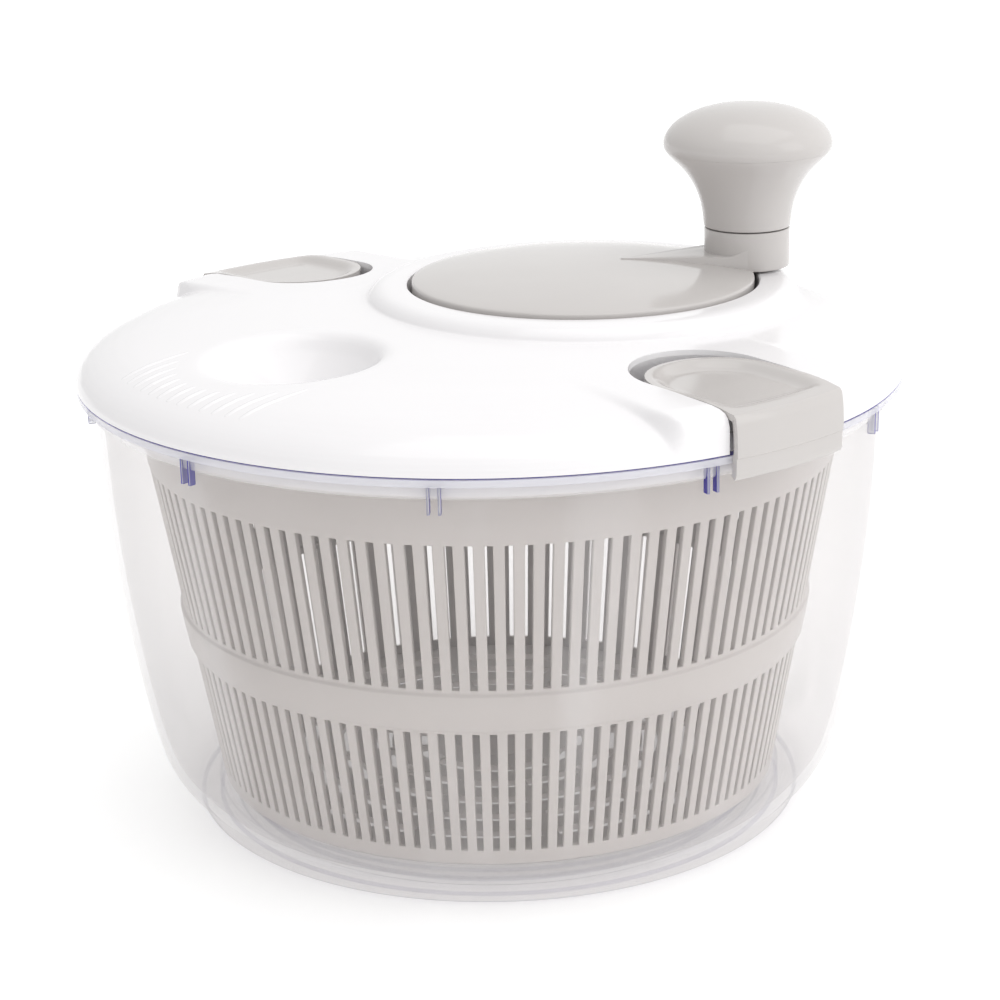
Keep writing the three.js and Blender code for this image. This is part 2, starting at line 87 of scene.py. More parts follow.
def settle(piece):
    # the place goes into the mesh, so the object stays at the origin
    makeActive(piece)
    bpy.ops.object.transform_apply(location=True, rotation=True, scale=True)


def smoothByAngle(piece, degrees=32):
    makeActive(piece)
    bpy.ops.object.shade_smooth_by_angle(angle=math.radians(degrees))


def applyModifier(piece, kind, **values):
    makeActive(piece)
    modifier = piece.modifiers.new(kind.title(), kind)
    for key, value in values.items():
        setattr(modifier, key, value)
    bpy.ops.object.modifier_apply(modifier=modifier.name)


def cutWith(piece, cutter):
    applyModifier(piece, "BOOLEAN", object=cutter, operation="DIFFERENCE", solver="EXACT")
    bpy.data.objects.remove(cutter, do_unlink=True)


def bevelSharp(piece, width, segments, degrees):
    applyModifier(piece, "BEVEL", width=width * mm, segments=segments, limit_method="ANGLE",
                  angle_limit=math.radians(degrees))


def fillHoles(piece):
    makeActive(piece)
    bpy.ops.object.mode_set(mode="EDIT")
    bpy.ops.mesh.select_all(action="SELECT")
    bpy.ops.mesh.fill_holes(sides=0)
    bpy.ops.object.mode_set(mode="OBJECT")
    tidyMesh(piece)


def faceUp(sheet):
    # turns an open sheet over if most of it looks down
    if sum(polygon.normal.z for polygon in sheet.data.polygons) < 0:
        sheet.data.flip_normals()


def joinInto(piece, *others):
    deselectAll()
    for other in others:
        other.select_set(True)
    piece.select_set(True)
    bpy.context.view_layer.objects.active = piece
    bpy.ops.object.join()
    return piece


def rounded(corners, steps=4):
    # corners are (radius, height, fillet) in mm; a fillet of 0 keeps the corner sharp
    points = []
    count = len(corners)
    for i, (x, z, fillet) in enumerate(corners):
        here = Vector((x, z))
        if fillet == 0:
            points.append((x * mm, z * mm))
            continue
        before = (Vector(corners[i - 1][:2]) - here)
        after = (Vector(corners[(i + 1) % count][:2]) - here)
        reach = min(fillet, 0.48 * before.length, 0.48 * after.length)
        start = here + before.normalized() * reach
        end = here + after.normalized() * reach
        for k in range(steps + 1):
            t = k / steps
            point = start * (1 - t) ** 2 + here * 2 * t * (1 - t) + end * t ** 2
            points.append((point.x * mm, point.y * mm))
    return points


def outlineRing(name, points, x=0.0, y=0.0):
    # a circle laid onto an outline that stands in the XZ plane
    deselectAll()
    bpy.ops.mesh.primitive_circle_add(vertices=len(points), radius=10 * mm)
    ring = bpy.context.object
    ring.name = name
    ring.data.name = name
    for vertex, (radius, height) in zip(ring.data.vertices, points):
        vertex.co = (x + radius, y, height)
    return ring


def spun(name, points, steps, x=0.0, y=0.0):
    ring = outlineRing(name, points, x, y)
    makeActive(ring)
    bpy.ops.object.mode_set(mode="EDIT")
    bpy.ops.mesh.select_all(action="SELECT")
    bpy.ops.mesh.spin(steps=steps, angle=2 * math.pi, center=(x, y, 0), axis=(0, 0, 1))
    bpy.ops.object.mode_set(mode="OBJECT")
    tidyMesh(ring)
    return ring


def gridSheet(name, rows, closed=False):
    # rows of points become a sheet of quads, from a grid primitive whose points are moved into place
    deselectAll()
    across, along = len(rows[0]), len(rows)
    bpy.ops.mesh.primitive_grid_add(x_subdivisions=across - 1, y_subdivisions=along - 1, size=2)
    sheet = bpy.context.object
    sheet.name = name
    sheet.data.name = name
    flat = [point for row in rows for point in row]
    for vertex, point in zip(sheet.data.vertices, flat):
        vertex.co = point
    if closed:
        tidyMesh(sheet)
    return sheet


def prism(name, outline, low, high):
    # an outline in plan, filled and drawn up from low to high
    deselectAll()
    bpy.ops.mesh.primitive_circle_add(vertices=len(outline), radius=10 * mm, fill_type="NGON")
    body = bpy.context.object
    body.name = name
    body.data.name = name
    for vertex, (x, y) in zip(body.data.vertices, outline):
        vertex.co = (x, y, low)
    bpy.ops.object.mode_set(mode="EDIT")
    bpy.ops.mesh.select_all(action="SELECT")
    bpy.ops.mesh.extrude_region_move(TRANSFORM_OT_translate={"value": (0, 0, high - low)})
    bpy.ops.mesh.select_all(action="SELECT")
    bpy.ops.mesh.normals_make_consistent(inside=False)
    bpy.ops.object.mode_set(mode="OBJECT")
    return body


def circlePlan(radius, count, x=0.0, y=0.0):
    return [(x + radius * math.cos(2 * math.pi * i / count), y + radius * math.sin(2 * math.pi * i / count))
            for i in range(count)]


def smoothStep(low, high, value):
    t = min(1.0, max(0.0, (value - low) / (high - low)))
    return t * t * (3 - 2 * t)


def plainMaterial(name):
    material = bpy.data.materials.new(name)
    material.use_nodes = True
    nodes = material.node_tree.nodes
    return material, nodes, material.node_tree.links, nodes["Principled BSDF"]


def noise(nodes, links, vector, scale, detail):
    node = nodes.new("ShaderNodeTexNoise")
    node.inputs["Scale"].default_value = scale
    node.inputs["Detail"].default_value = detail
    links.new(vector, node.inputs["Vector"])
    return node.outputs["Fac"]


def stretched(nodes, links, vector, scale):
    node = nodes.new("ShaderNodeMapping")
    node.inputs["Scale"].default_value = scale
    links.new(vector, node.inputs["Vector"])
    return node.outputs["Vector"]


def mappedRange(nodes, links, value, fromLow, fromHigh, low, high):
    node = nodes.new("ShaderNodeMapRange")
    for key, number in (("From Min", fromLow), ("From Max", fromHigh), ("To Min", low), ("To Max", high)):
        node.inputs[key].default_value = number
    links.new(value, node.inputs["Value"])
    return node.outputs["Result"]


def times(nodes, links, first, second):
    node = nodes.new("ShaderNodeMath")
    node.operation = "MULTIPLY"
    links.new(first, node.inputs[0])
    links.new(second, node.inputs[1])
    return node.outputs["Value"]


def toneBetween(nodes, links, shader, value, look, low=0.0, high=1.0):
    ramp = nodes.new("ShaderNodeValToRGB")
    ends = ((low, look["shade"]), (high, look["colour"]))
    for element, (position, colour) in zip(ramp.color_ramp.elements, ends):
        element.position = position
        element.color = (*colour, 1)
    links.new(value, ramp.inputs["Fac"])
    links.new(ramp.outputs["Color"], shader.inputs["Base Color"])


def bumpFrom(nodes, links, shader, height, strength, depth):
    bump = nodes.new("ShaderNodeBump")
    bump.inputs["Strength"].default_value = strength
    bump.inputs["Distance"].default_value = depth
    links.new(height, bump.inputs["Height"])
    links.new(bump.outputs["Normal"], shader.inputs["Normal"])


def mouldedPlastic(name, look):
    # colour drifts slowly, roughness is mottled, and a very fine grain breaks up the gloss
    material, nodes, links, shader = plainMaterial(name)
    place = nodes.new("ShaderNodeTexCoord").outputs["Object"]
    drift = noise(nodes, links, place, look["driftScale"], 2)
    toneBetween(nodes, links, shader, drift, look, 0.3, 0.7)
    mottle = noise(nodes, links, place, look["mottleScale"], 4)
    gloss = mappedRange(nodes, links, mottle, 0, 1, look["roughLow"], look["roughHigh"])
    links.new(gloss, shader.inputs["Roughness"])
    grain = noise(nodes, links, place, look["grainScale"], 3)
    bumpFrom(nodes, links, shader, grain, look["grainStrength"], look["grainDepth"])
    shader.inputs["IOR"].default_value = look["ior"]
    return material


whiteLook = {
    "colour": (0.815, 0.802, 0.811), "shade": (0.8, 0.787, 0.796), "driftScale": 14, "mottleScale": 60,
    "roughLow": 0.1, "roughHigh": 0.16, "grainScale": 900, "grainStrength": 0.06, "grainDepth": 0.00003,
    "ior": 1.5,
}
greyLook = {
    "colour": (0.53, 0.506, 0.492), "shade": (0.512, 0.488, 0.474), "driftScale": 22, "mottleScale": 90,
    "roughLow": 0.1, "roughHigh": 0.17, "grainScale": 1600, "grainStrength": 0.05, "grainDepth": 0.00003,
    "ior": 1.5,
}
basketLook = {
    "colour": (0.665, 0.632, 0.61), "shade": (0.635, 0.602, 0.58), "driftScale": 18, "mottleScale": 70,
    "roughLow": 0.26, "roughHigh": 0.36, "grainScale": 1300, "grainStrength": 0.14, "grainDepth": 0.00003,
    "ior": 1.49,
}
creamLook = {
    "colour": (0.78, 0.75, 0.66), "shade": (0.72, 0.69, 0.6), "driftScale": 30, "mottleScale": 120,
    "roughLow": 0.4, "roughHigh": 0.55, "grainScale": 1500, "grainStrength": 0.15, "grainDepth": 0.00003,
    "ior": 1.48,
}
clearLook = {
    "through": (0.947, 0.942, 0.941), "roughness": 0.05,
    # the last two values here paint soft upright reflections, a milky sheen
    "veil": (0.86, 0.85, 0.862), "faceOn": 0.04, "edgeOn": 0.4, "reflectionStreak": 0.16, "reflectionStreakScale": (34, 34, 1.6),
    # depths below the rim's top and heights above the floor are in mm
    # the first colour here paints a violet reflection stripe along the rim's top
    "edge": (0.07, 0.055, 0.38), "reflectionLineWidth": 0.28, "reflectionLineFaceOn": 0.0, "reflectionLineEdgeOn": 0.95,
    # the first colour and share here paint a pale lavender reflection on the flange
    "reflectionBand": (0.9, 0.9, 0.97), "reflectionBandShare": 0.45, "flangeDepth": 2.6, "underShare": 0.34, "underDepth": 6.6,
    "foot": (0.8, 0.78, 0.79), "footShare": 0.12, "footHeight": 7.5,
    # the rings are painted refraction: thin violet-grey lines at the steps of the foot
    "rings": (79.2, 83.2, 88.6, 94.4), "refractionRingWidth": 0.7, "refractionRingShare": 0.32, "refractionRingTone": (0.45, 0.43, 0.56),
}
ribLook = {
    "through": (0.95, 0.95, 0.96), "roughness": 0.05,
    # the edge colour paints a deep violet reflection on the rib flanks
    "veil": (0.92, 0.92, 0.97), "edge": (0.05, 0.04, 0.3), "faceOn": 0.3, "edgeOn": 0.96,
}
steelLook = {
    "colour": (0.6, 0.61, 0.62), "shade": (0.48, 0.49, 0.5), "roughLow": 0.22, "roughHigh": 0.4,
    "scratchScale": (300, 300, 2500),
}


def heightBand(nodes, links, value, low, high, soft):
    # 1 between two distances in mm, 0 outside them, with soft ends
    rise = mappedRange(nodes, links, value, (low - soft) * mm, (low + soft) * mm, 0, 1)
    fall = mappedRange(nodes, links, value, (high + soft) * mm, (high - soft) * mm, 0, 1)
    return times(nodes, links, rise, fall)


def mixColours(nodes, links, share, first, second):
    mix = nodes.new("ShaderNodeMix")
    mix.data_type = "RGBA"
    for socket, value in ((mix.inputs["A"], first), (mix.inputs["B"], second)):
        if isinstance(value, tuple):
            socket.default_value = (*value, 1)
        else:
            links.new(value, socket)
    links.new(share, mix.inputs["Factor"])
    return mix.outputs["Result"]


def scaled(nodes, links, value, factor):
    node = nodes.new("ShaderNodeMath")
    node.operation = "MULTIPLY"
    node.inputs[1].default_value = factor
    links.new(value, node.inputs[0])
    return node.outputs["Value"]


def largest(nodes, links, *values):
    result = values[0]
    for value in values[1:]:
        node = nodes.new("ShaderNodeMath")
        node.operation = "MAXIMUM"
        links.new(result, node.inputs[0])
        links.new(value, node.inputs[1])
        result = node.outputs["Value"]
    return result


def seeThrough(material, nodes, links, shader, place, share, look):
    # a slow ripple in the surface, and the share of it that isn't simply seen through
    bumpFrom(nodes, links, shader, noise(nodes, links, place, 24, 2), 0.05, 0.5 * mm)
    shader.inputs["Roughness"].default_value = look["roughness"]
    shader.inputs["IOR"].default_value = 1.5
    clear = nodes.new("ShaderNodeBsdfTransparent")
    clear.inputs["Color"].default_value = (*look["through"], 1)
    both = nodes.new("ShaderNodeMixShader")
    links.new(share, both.inputs["Fac"])
    links.new(clear.outputs["BSDF"], both.inputs[1])
    links.new(shader.outputs["BSDF"], both.inputs[2])
    links.new(both.outputs["Shader"], nodes["Material Output"].inputs["Surface"])
    return material


def turnedAway(nodes):
    # 0 where a surface faces the viewer, 1 where it is seen edge on
    facing = nodes.new("ShaderNodeLayerWeight")
    facing.inputs["Blend"].default_value = 0.5
    return facing.outputs["Facing"]


def clearPlastic(name, look):
    # almost invisible face on and milkier edge on; greyer in the thick foot; painted reflection gives a
    # violet stripe at the rim's top edge, a pale lavender stripe on the flange and soft upright sheen, and
    # painted refraction gives thin rings in the foot
    material, nodes, links, shader = plainMaterial(name)
    place = nodes.new("ShaderNodeTexCoord").outputs["Object"]
    apart = nodes.new("ShaderNodeSeparateXYZ")
    links.new(place, apart.inputs["Vector"])
    height = apart.outputs["Z"]
    flat = nodes.new("ShaderNodeVectorMath")
    flat.operation = "MULTIPLY"
    flat.inputs[1].default_value = (1, 1, 0)
    links.new(place, flat.inputs[0])
    reach = nodes.new("ShaderNodeVectorMath")
    reach.operation = "LENGTH"
    links.new(flat.outputs["Vector"], reach.inputs[0])
    rimTop, above = rimHeight / mm, rimHeight / mm + 2
    # painted reflection: a violet stripe along the rim's top, strongest where it is seen edge on
    reflectionLine = heightBand(nodes, links, height, rimTop - look["reflectionLineWidth"], above, 0.1)
    flange = heightBand(nodes, links, height, rimTop - look["flangeDepth"], above, 0.1)
    under = heightBand(nodes, links, height, rimTop - look["underDepth"], rimTop - look["flangeDepth"], 0.1)
    foot = heightBand(nodes, links, height, -5, look["footHeight"], 2.5)
    # painted refraction: thin violet-grey rings at the steps of the foot
    width = look["refractionRingWidth"]
    rings = largest(nodes, links, *[
        heightBand(nodes, links, reach.outputs["Value"], radius - width, radius + width, 0.3)
        for radius in look["rings"]
    ])
    rings = times(nodes, links, rings, foot)
    # painted reflection: soft upright stripes of milky sheen
    reflectionStreaks = noise(nodes, links, stretched(nodes, links, place, look["reflectionStreakScale"]), 1, 1)
    sheen = mappedRange(nodes, links, reflectionStreaks, 0.48, 0.72, 0, look["reflectionStreak"])
    away = turnedAway(nodes)
    steep = nodes.new("ShaderNodeMath")
    steep.operation = "POWER"
    steep.inputs[1].default_value = 3.0
    links.new(away, steep.inputs[0])
    milky = mappedRange(nodes, links, steep.outputs["Value"], 0, 1, look["faceOn"], look["edgeOn"])
    reflectionLineStrength = mappedRange(nodes, links, away, 0.14, 0.7, look["reflectionLineFaceOn"], look["reflectionLineEdgeOn"])
    tint = mixColours(nodes, links, foot, look["veil"], look["foot"])
    tint = mixColours(nodes, links, rings, tint, look["refractionRingTone"])
    # painted reflection: pale lavender over the flange
    tint = mixColours(nodes, links, flange, tint, look["reflectionBand"])
    tint = mixColours(nodes, links, reflectionLine, tint, look["edge"])
    links.new(tint, shader.inputs["Base Color"])
    share = largest(
        nodes, links, milky,
        scaled(nodes, links, flange, look["reflectionBandShare"]),
        scaled(nodes, links, under, look["underShare"]),
        scaled(nodes, links, foot, look["footShare"]),
        times(nodes, links, reflectionLine, reflectionLineStrength),
        scaled(nodes, links, rings, look["refractionRingShare"]),
        sheen,
    )
    return seeThrough(material, nodes, links, shader, place, share, look)


def ribPlastic(name, look):
    # the little ribs are clear on their faces, with a painted deep violet reflection on their flanks
    material, nodes, links, shader = plainMaterial(name)
    place = nodes.new("ShaderNodeTexCoord").outputs["Object"]
    # painted reflection: the violet grows as the flanks turn edge on
    flankReflection = mappedRange(nodes, links, turnedAway(nodes), 0.09, 0.3, 0, 1)
    links.new(mixColours(nodes, links, flankReflection, look["veil"], look["edge"]), shader.inputs["Base Color"])
    share = mappedRange(nodes, links, flankReflection, 0, 1, look["faceOn"], look["edgeOn"])
    return seeThrough(material, nodes, links, shader, place, share, look)


def brushedSteel(name, look):
    # fine scratches change both the tone and the gloss
    material, nodes, links, shader = plainMaterial(name)
    place = nodes.new("ShaderNodeTexCoord").outputs["Object"]
    scratches = noise(nodes, links, stretched(nodes, links, place, look["scratchScale"]), 1, 5)
    toneBetween(nodes, links, shader, scratches, look)
    gloss = mappedRange(nodes, links, scratches, 0, 1, look["roughLow"], look["roughHigh"])
    links.new(gloss, shader.inputs["Roughness"])
    shader.inputs["Metallic"].default_value = 1.0
    return material


lidWhite = mouldedPlastic("lidWhite", whiteLook)
softGrey = mouldedPlastic("softGrey", greyLook)
basketGrey = mouldedPlastic("basketGrey", basketLook)
gearCream = mouldedPlastic("gearCream", creamLook)
bowlClear = clearPlastic("bowlClear", clearLook)
ribClear = ribPlastic("ribClear", ribLook)
screwSteel = brushedSteel("screwSteel", steelLook)
slotMaterials = {
    "lid_white": lidWhite, "soft_grey": softGrey, "basket_grey": basketGrey, "gear_cream": gearCream,
    "clear_bowl": bowlClear, "steel": screwSteel,
}


def finishPiece(piece, body, slotName, *nodes):
    piece.data.materials.clear()
    piece.data.materials.append(slotMaterials[slotName])
    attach(piece, body)
    if nodes:
        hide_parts(*nodes)


print("materials made")


bowlShape = {
    "steps": 192,
    "ribs": 10, "firstRib": -83, "ribWidth": 0.8, "ribDepth": 2.2, "ribSpread": 3.0, "ribRadius": 121.1,
    "ribLow": 125.6, "ribHigh": 133.2, "ribBevel": 0.2,
    # radius, height and fillet of each corner, in mm, from the axis outwards and back inside
    "corners": [
        (0, 6.2, 0), (4, 6.2, 1), (7.4, 2.6, 2), (70, 2.6, 1), (71.5, 1.8, 0.6), (78, 1.8, 0.6),
        (79.5, 0.1, 1),
        (82.5, 0.1, 0.8), (83.5, 1, 0.6), (88, 1, 0.6), (89, 0.1, 0.6), (93.5, 0.1, 1), (95.3, 1.4, 1),
        (96, 6.4, 2.5), (101.4, 11, 3), (105.9, 18, 5), (109, 30, 8), (112.6, 48.8, 12), (116.3, 73.8, 14),
        (118.7, 98.8, 14), (119.8, 124, 8), (120, 129.4, 0.8), (121.5, 129.9, 0.8), (121.9, 133.6, 0.5),
        (124.9, 133.9, 0.5), (124.9, 136.2, 0.5), (120.9, 136.2, 0.5), (119.3, 132.5, 1), (117.5, 124, 6),
        (116.4, 98.8, 14), (114, 73.8, 14), (110.3, 48.8, 12), (106.7, 30, 8), (103.4, 18.6, 5),
        (98.6, 12.4, 3), (93.4, 7.2, 2), (86, 5, 1.5), (83.6, 5, 0.6), (82.4, 6, 0.6), (78.4, 6, 0.6),
        (77.2, 5, 0.6), (12.5, 5, 1),
        (9, 9, 1.5), (2.6, 12.4, 1), (0, 12.4, 0),
    ],
}


def makeBowl():
    shape = bowlShape
    bowl = spun("bowlShell", rounded(shape["corners"], 3), shape["steps"])
    low, high, radius = shape["ribLow"] * mm, shape["ribHigh"] * mm, shape["ribRadius"] * mm
    ribs = []
    for i in range(shape["ribs"]):
        middle = math.radians(shape["firstRib"] + 360 * i / shape["ribs"])
        for side in (-0.5, 0.5):
            angle = middle + side * shape["ribSpread"] / 121
            deselectAll()
            bpy.ops.mesh.primitive_cube_add(size=1)
            rib = bpy.context.object
            rib.scale = (shape["ribDepth"] * mm, shape["ribWidth"] * mm, high - low)
            rib.location = (radius * math.cos(angle), radius * math.sin(angle), (low + high) / 2)
            rib.rotation_euler = (0, 0, angle)
            settle(rib)
            applyModifier(rib, "BEVEL", width=shape["ribBevel"] * mm, segments=2)
            ribs.append(rib)
    joinInto(*ribs)
    ribs[0].name = "bowlRibs"
    ribs[0].data.name = "bowlRibs"
    finishPiece(ribs[0], "bowl", "clear_bowl")
    ribs[0].data.materials[0] = ribClear
    smoothByAngle(bowl, 40)
    finishPiece(bowl, "bowl", "clear_bowl", "bowl")
    print("bowl", len(bowl.data.polygons), "faces and", len(ribs), "ribs")


makeBowl()


basketShape = {
    "slots": 120, "barShare": 0.58, "wall": 1.9, "notches": 6, "notchLow": 127.1,
    "taper": ((87.6, 10.5), (105.1, 111.6)),
    "lowerRow": (13.6, 52.4), "upperRow": (66.6, 111.4),
    "base": [(80.2, 6.7), (82.2, 6.7), (82.8, 8.2), (86.2, 8.5), (87.4, 9.4)],
    "middleBand": [(53.4, 0.2), (53.9, 1.1), (59, 1.2), (65, 1.1), (65.6, 0.2)],  # height and step outwards
    "floorSteps": 96, "floorTop": 9.8, "floorWall": 1.8,
    "hub": [(5.7, 16.4), (5.8, 14.7), (11, 11.2)],
    "floorRings": [15, 22, 27, 34, 39, 46, 51, 58, 63, 70, 75, 81, 84.2],
}


def basketRadius(height):
    # outer radius of the slotted wall, in mm
    (low, bottom), (high, top) = basketShape["taper"]
    return low + (high - low) * (height - bottom) / (top - bottom)


def pointUp(piece):
    # turns an open skin so that its faces look up or outwards
    total = 0
    for polygon in piece.data.polygons:
        centre, normal = polygon.center, polygon.normal
        total += polygon.area * (normal.z + 4 * (centre.x * normal.x + centre.y * normal.y) / centre.length)
    if total < 0:
        piece.data.flip_normals()


def deleteFaces(piece, chosen):
    makeActive(piece)
    bpy.ops.object.mode_set(mode="EDIT")
    bpy.ops.mesh.select_mode(type="FACE")
    bpy.ops.mesh.select_all(action="DESELECT")
    bpy.ops.object.mode_set(mode="OBJECT")
    for polygon in piece.data.polygons:
        polygon.select = chosen(polygon.center)
    bpy.ops.object.mode_set(mode="EDIT")
    bpy.ops.mesh.delete(type="FACE")
    bpy.ops.mesh.select_mode(type="VERT")
    bpy.ops.object.mode_set(mode="OBJECT")


def polarRow(radius, height, angles, x=0.0, y=0.0):
    reach = radius * mm
    return [(x + reach * math.cos(angle), y + reach * math.sin(angle), height * mm) for angle in angles]


def makeBasketWall():
    # the wall is a single skin whose slot faces are deleted before it gets its thickness
    lowA, highA = basketShape["lowerRow"]
    lowB, highB = basketShape["upperRow"]
    share, slots = basketShape["barShare"], basketShape["slots"]
    pitch = 2 * math.pi / slots
    wall = list(basketShape["base"])
    wall += [(basketRadius(z), z) for z in (lowA, (lowA + highA) / 2, highA)]
    wall += [(basketRadius(z) + step, z) for z, step in basketShape["middleBand"]]
    wall += [(basketRadius(z), z) for z in (lowB, (lowB + highB) / 2, highB)]
    wall += [(basketRadius(112.6) + 0.25, 112.6), (106, 119)]
    wall += [(106.6, basketShape["notchLow"]), (106.9, 130.4)]
    angles = []
    for slot in range(slots):
        angles += [(slot - share / 2) * pitch, (slot + share / 2) * pitch]
    angles.append((slots - share / 2) * pitch)
    rows = [polarRow(radius, height, angles) for radius, height in wall]
    skin = gridSheet("basketWall", rows, closed=True)

    def inSlot(centre):
        height = centre.z / mm
        turn = (math.atan2(centre.y, centre.x) / pitch + share / 2) % 1
        inRow = lowA < height < highA or lowB < height < highB
        return inRow and turn > share

    def inNotch(centre):
        spacing = 2 * math.pi / basketShape["notches"]
        turn = (math.atan2(centre.y, centre.x) + spacing / 2) % spacing - spacing / 2
        return centre.z / mm > basketShape["notchLow"] and abs(turn) < (1 - share / 2) * pitch

    deleteFaces(skin, lambda centre: inSlot(centre) or inNotch(centre))
    pointUp(skin)
    applyModifier(skin, "SOLIDIFY", thickness=basketShape["wall"] * mm, offset=-1, use_even_offset=True)
    bevelSharp(skin, 0.22, 1, 50)
    return skin


def makeBasketFloor():
    # the floor and its hub are turned, and rings of arc slots are deleted from the flat part
    steps, rings = basketShape["floorSteps"], basketShape["floorRings"]
    cutBetween = list(zip(rings[1::2], rings[2::2]))[:-1]
    profile = basketShape["hub"] + [(radius, basketShape["floorTop"]) for radius in (13, *rings)]
    angles = [2 * math.pi * step / steps for step in range(steps + 1)]
    rows = [polarRow(radius, height, angles) for radius, height in profile]
    floor = gridSheet("basketFloor", rows, closed=True)

    def inArcSlot(centre):
        radius = math.hypot(centre.x, centre.y) / mm
        column = int((math.atan2(centre.y, centre.x) % (2 * math.pi)) / (2 * math.pi) * steps)
        return column % 8 != 0 and any(low < radius < high for low, high in cutBetween)

    deleteFaces(floor, inArcSlot)
    pointUp(floor)
    applyModifier(floor, "SOLIDIFY", thickness=basketShape["floorWall"] * mm, offset=1)
    return floor


def makeBasket():
    basket = makeBasketWall()
    joinInto(basket, makeBasketFloor())
    smoothByAngle(basket, 38)
    finishPiece(basket, "basket", "basket_grey", "basket")
    print("basket", len(basket.data.polygons), "faces")


makeBasket()


lidShape = {
    # outer skin from the rim to the middle: radius and height in mm, rolled over plainly and beside a clip
    "plain": [
        (125, 136.6), (124.9, 138), (124.2, 139.7), (123, 141.3), (121.3, 142.8), (119, 144.2),
        (116, 145.5), (112.4, 146.7), (108, 147.7), (102, 148.6), (94, 149.5), (84, 150.3), (72, 150.9),
        (58, 151.4), (40, 151.8), (20, 152.1), (0, 152.2),
    ],
    "shoulder": [
        (125, 136.6), (125, 139.2), (125, 141.8), (124.9, 144), (124.3, 146.2), (123.2, 147.5),
        (121.2, 148.3), (118, 148.8), (112, 149.2), (104, 149.7), (94, 150.1), (84, 150.5), (72, 151),
        (58, 151.4), (40, 151.8), (20, 152.1), (0, 152.2),
    ],
    "shoulderHalf": 33, "creaseHalf": 38, "shoulderFrom": 60, "shoulderFull": 90, "rowsPerStep": 3,
    "thickness": 2.1, "overlap": 0.02,
    # raised ring: radius and height; then radius and the share of its last height that is left
    "collar": [
        (57.2, 143), (54.9, 143), (54.9, 154.9), (55, 155.3), (55.4, 155.6), (57, 155.6), (60, 155.6),
        (61.8, 155.5), (63.4, 155.2), (64.8, 154.6), (66, 153.7), (66.9, 152.7),
    ],
    "collarFoot": [(67.2, 0.5), (67.5, 0.2), (67.9, 0.05), (68.4, 0), (70.4, 0), (73, 0)],
    "collarWall": 2.0,
    "dishY": -73,
    "dish": [
        (9, 131), (9, 134), (9, 136.6), (9.3, 137.3), (10, 137.8), (12, 138.8), (14.5, 140.2), (17, 141.9),
        (19.4, 143.7), (21.4, 145.5), (23, 147.1),
    ],
    "dishRim": [(24.3, 0.56), (25.4, 0.3), (26.5, 0.13), (27.8, 0.04), (29.4, 0.005), (31.2, 0), (33, 0)],
    "dishWall": 1.7,
    "pocketInner": 70, "pocketOuter": 118, "pocketHalf": 22, "pocketFloor": 138.7, "pocketWall": 1.6,
    "lip": 1.3,
    # rise above the pocket's floor, inset of its wall, and how much further its round end reaches in
    "scoop": [
        (9.6, 0, 0.5), (7.8, 0, 1.5), (6, 0, 3), (4, 0, 4.8), (2.2, 0.1, 6.8), (0.9, 0.4, 8.8),
        (0.2, 0.9, 10.6), (0, 1.4, 12),
    ],
    "skirt": [(115.9, 129.3, 0.5), (117.8, 129.3, 0.5), (117.8, 143.6, 0), (115.9, 143.6, 0)],
    "boss": [(1.8, 135.4), (3.6, 135.4), (3.6, 145), (1.8, 145)],
    "bossCircle": 106, "bossAngles": (35, 90, 145, 215, 270, 325),
    "ribs": 13, "ribPitch": 4.9, "ribHalf": 1.45, "ribRise": 0.6, "ribSink": 0.16, "ribStations": 60,
    "ribInner": 33.5, "ribOuter": 116.5,
}


def profileAt(profile, fraction):
    at = fraction * (len(profile) - 1)
    i = min(int(at), len(profile) - 2)
    t = at - i
    return tuple(profile[i][k] * (1 - t) + profile[i + 1][k] * t for k in (0, 1))


def heightOn(profile, radius):
    for (r0, z0), (r1, z1) in zip(profile, profile[1:]):
        if r1 <= radius <= r0 and r0 > r1:
            return z0 + (z1 - z0) * (radius - r0) / (r1 - r0)
    return profile[-1][1]


def shoulderShare(x, y):
    # 1 beside a clip, 0 on the plain part of the lid
    across = 1 - smoothStep(lidShape["shoulderHalf"], lidShape["creaseHalf"], abs(y))
    return across * smoothStep(lidShape["shoulderFrom"], lidShape["shoulderFull"], abs(x))


def lidHeight(x, y):
    # height of the lid's outer skin, in mm
    radius = min(math.hypot(x, y), 124.9)
    share = shoulderShare(x, y)
    return heightOn(lidShape["plain"], radius) * (1 - share) + heightOn(lidShape["shoulder"], radius) * share


def fingerPlan(inner, outer, half, arcSteps=28, straight=22):
    # plan of a clip's pocket: a strip with a round inner end, from (outer, -half) round to (outer, half)
    centre = inner + half
    side = [outer + (centre - outer) * i / straight for i in range(straight)]
    points = [(x, -half) for x in side]
    for i in range(arcSteps + 1):
        angle = -math.pi / 2 - math.pi * i / arcSteps
        points.append((centre + half * math.cos(angle), half * math.sin(angle)))
    return points + [(x, half) for x in side[::-1]]


def offsetPlan(points, distance, scoop=0.0):
    # moves an outline sideways; scoop moves its round end further than its straight sides
    moved = []
    for i, (x, y) in enumerate(points):
        ax, ay = points[max(0, i - 1)]
        bx, by = points[min(len(points) - 1, i + 1)]
        length = math.hypot(bx - ax, by - ay)
        across, along = (bx - ax) / length, (by - ay) / length
        far = distance + scoop * along * along
        moved.append((x - far * along, y + far * across))
    return moved


def lidAngles():
    # columns stand closer together where the shoulders beside the clips begin
    quarter = [i * 1.2 for i in range(10)]
    quarter += [12 + i * 0.3 for i in range(60)]
    quarter += [30 + i * 1.2 for i in range(50)]
    half = quarter + [180 - angle for angle in [90] + quarter[:0:-1]]
    return [math.radians(angle) for angle in half + [angle + 180 for angle in half] + [360]]


def placed(side, plan, height):
    # a plan in mm, on the right or turned round to the left, at one height
    return [(side * x * mm, side * y * mm, height * mm) for x, y in plan]


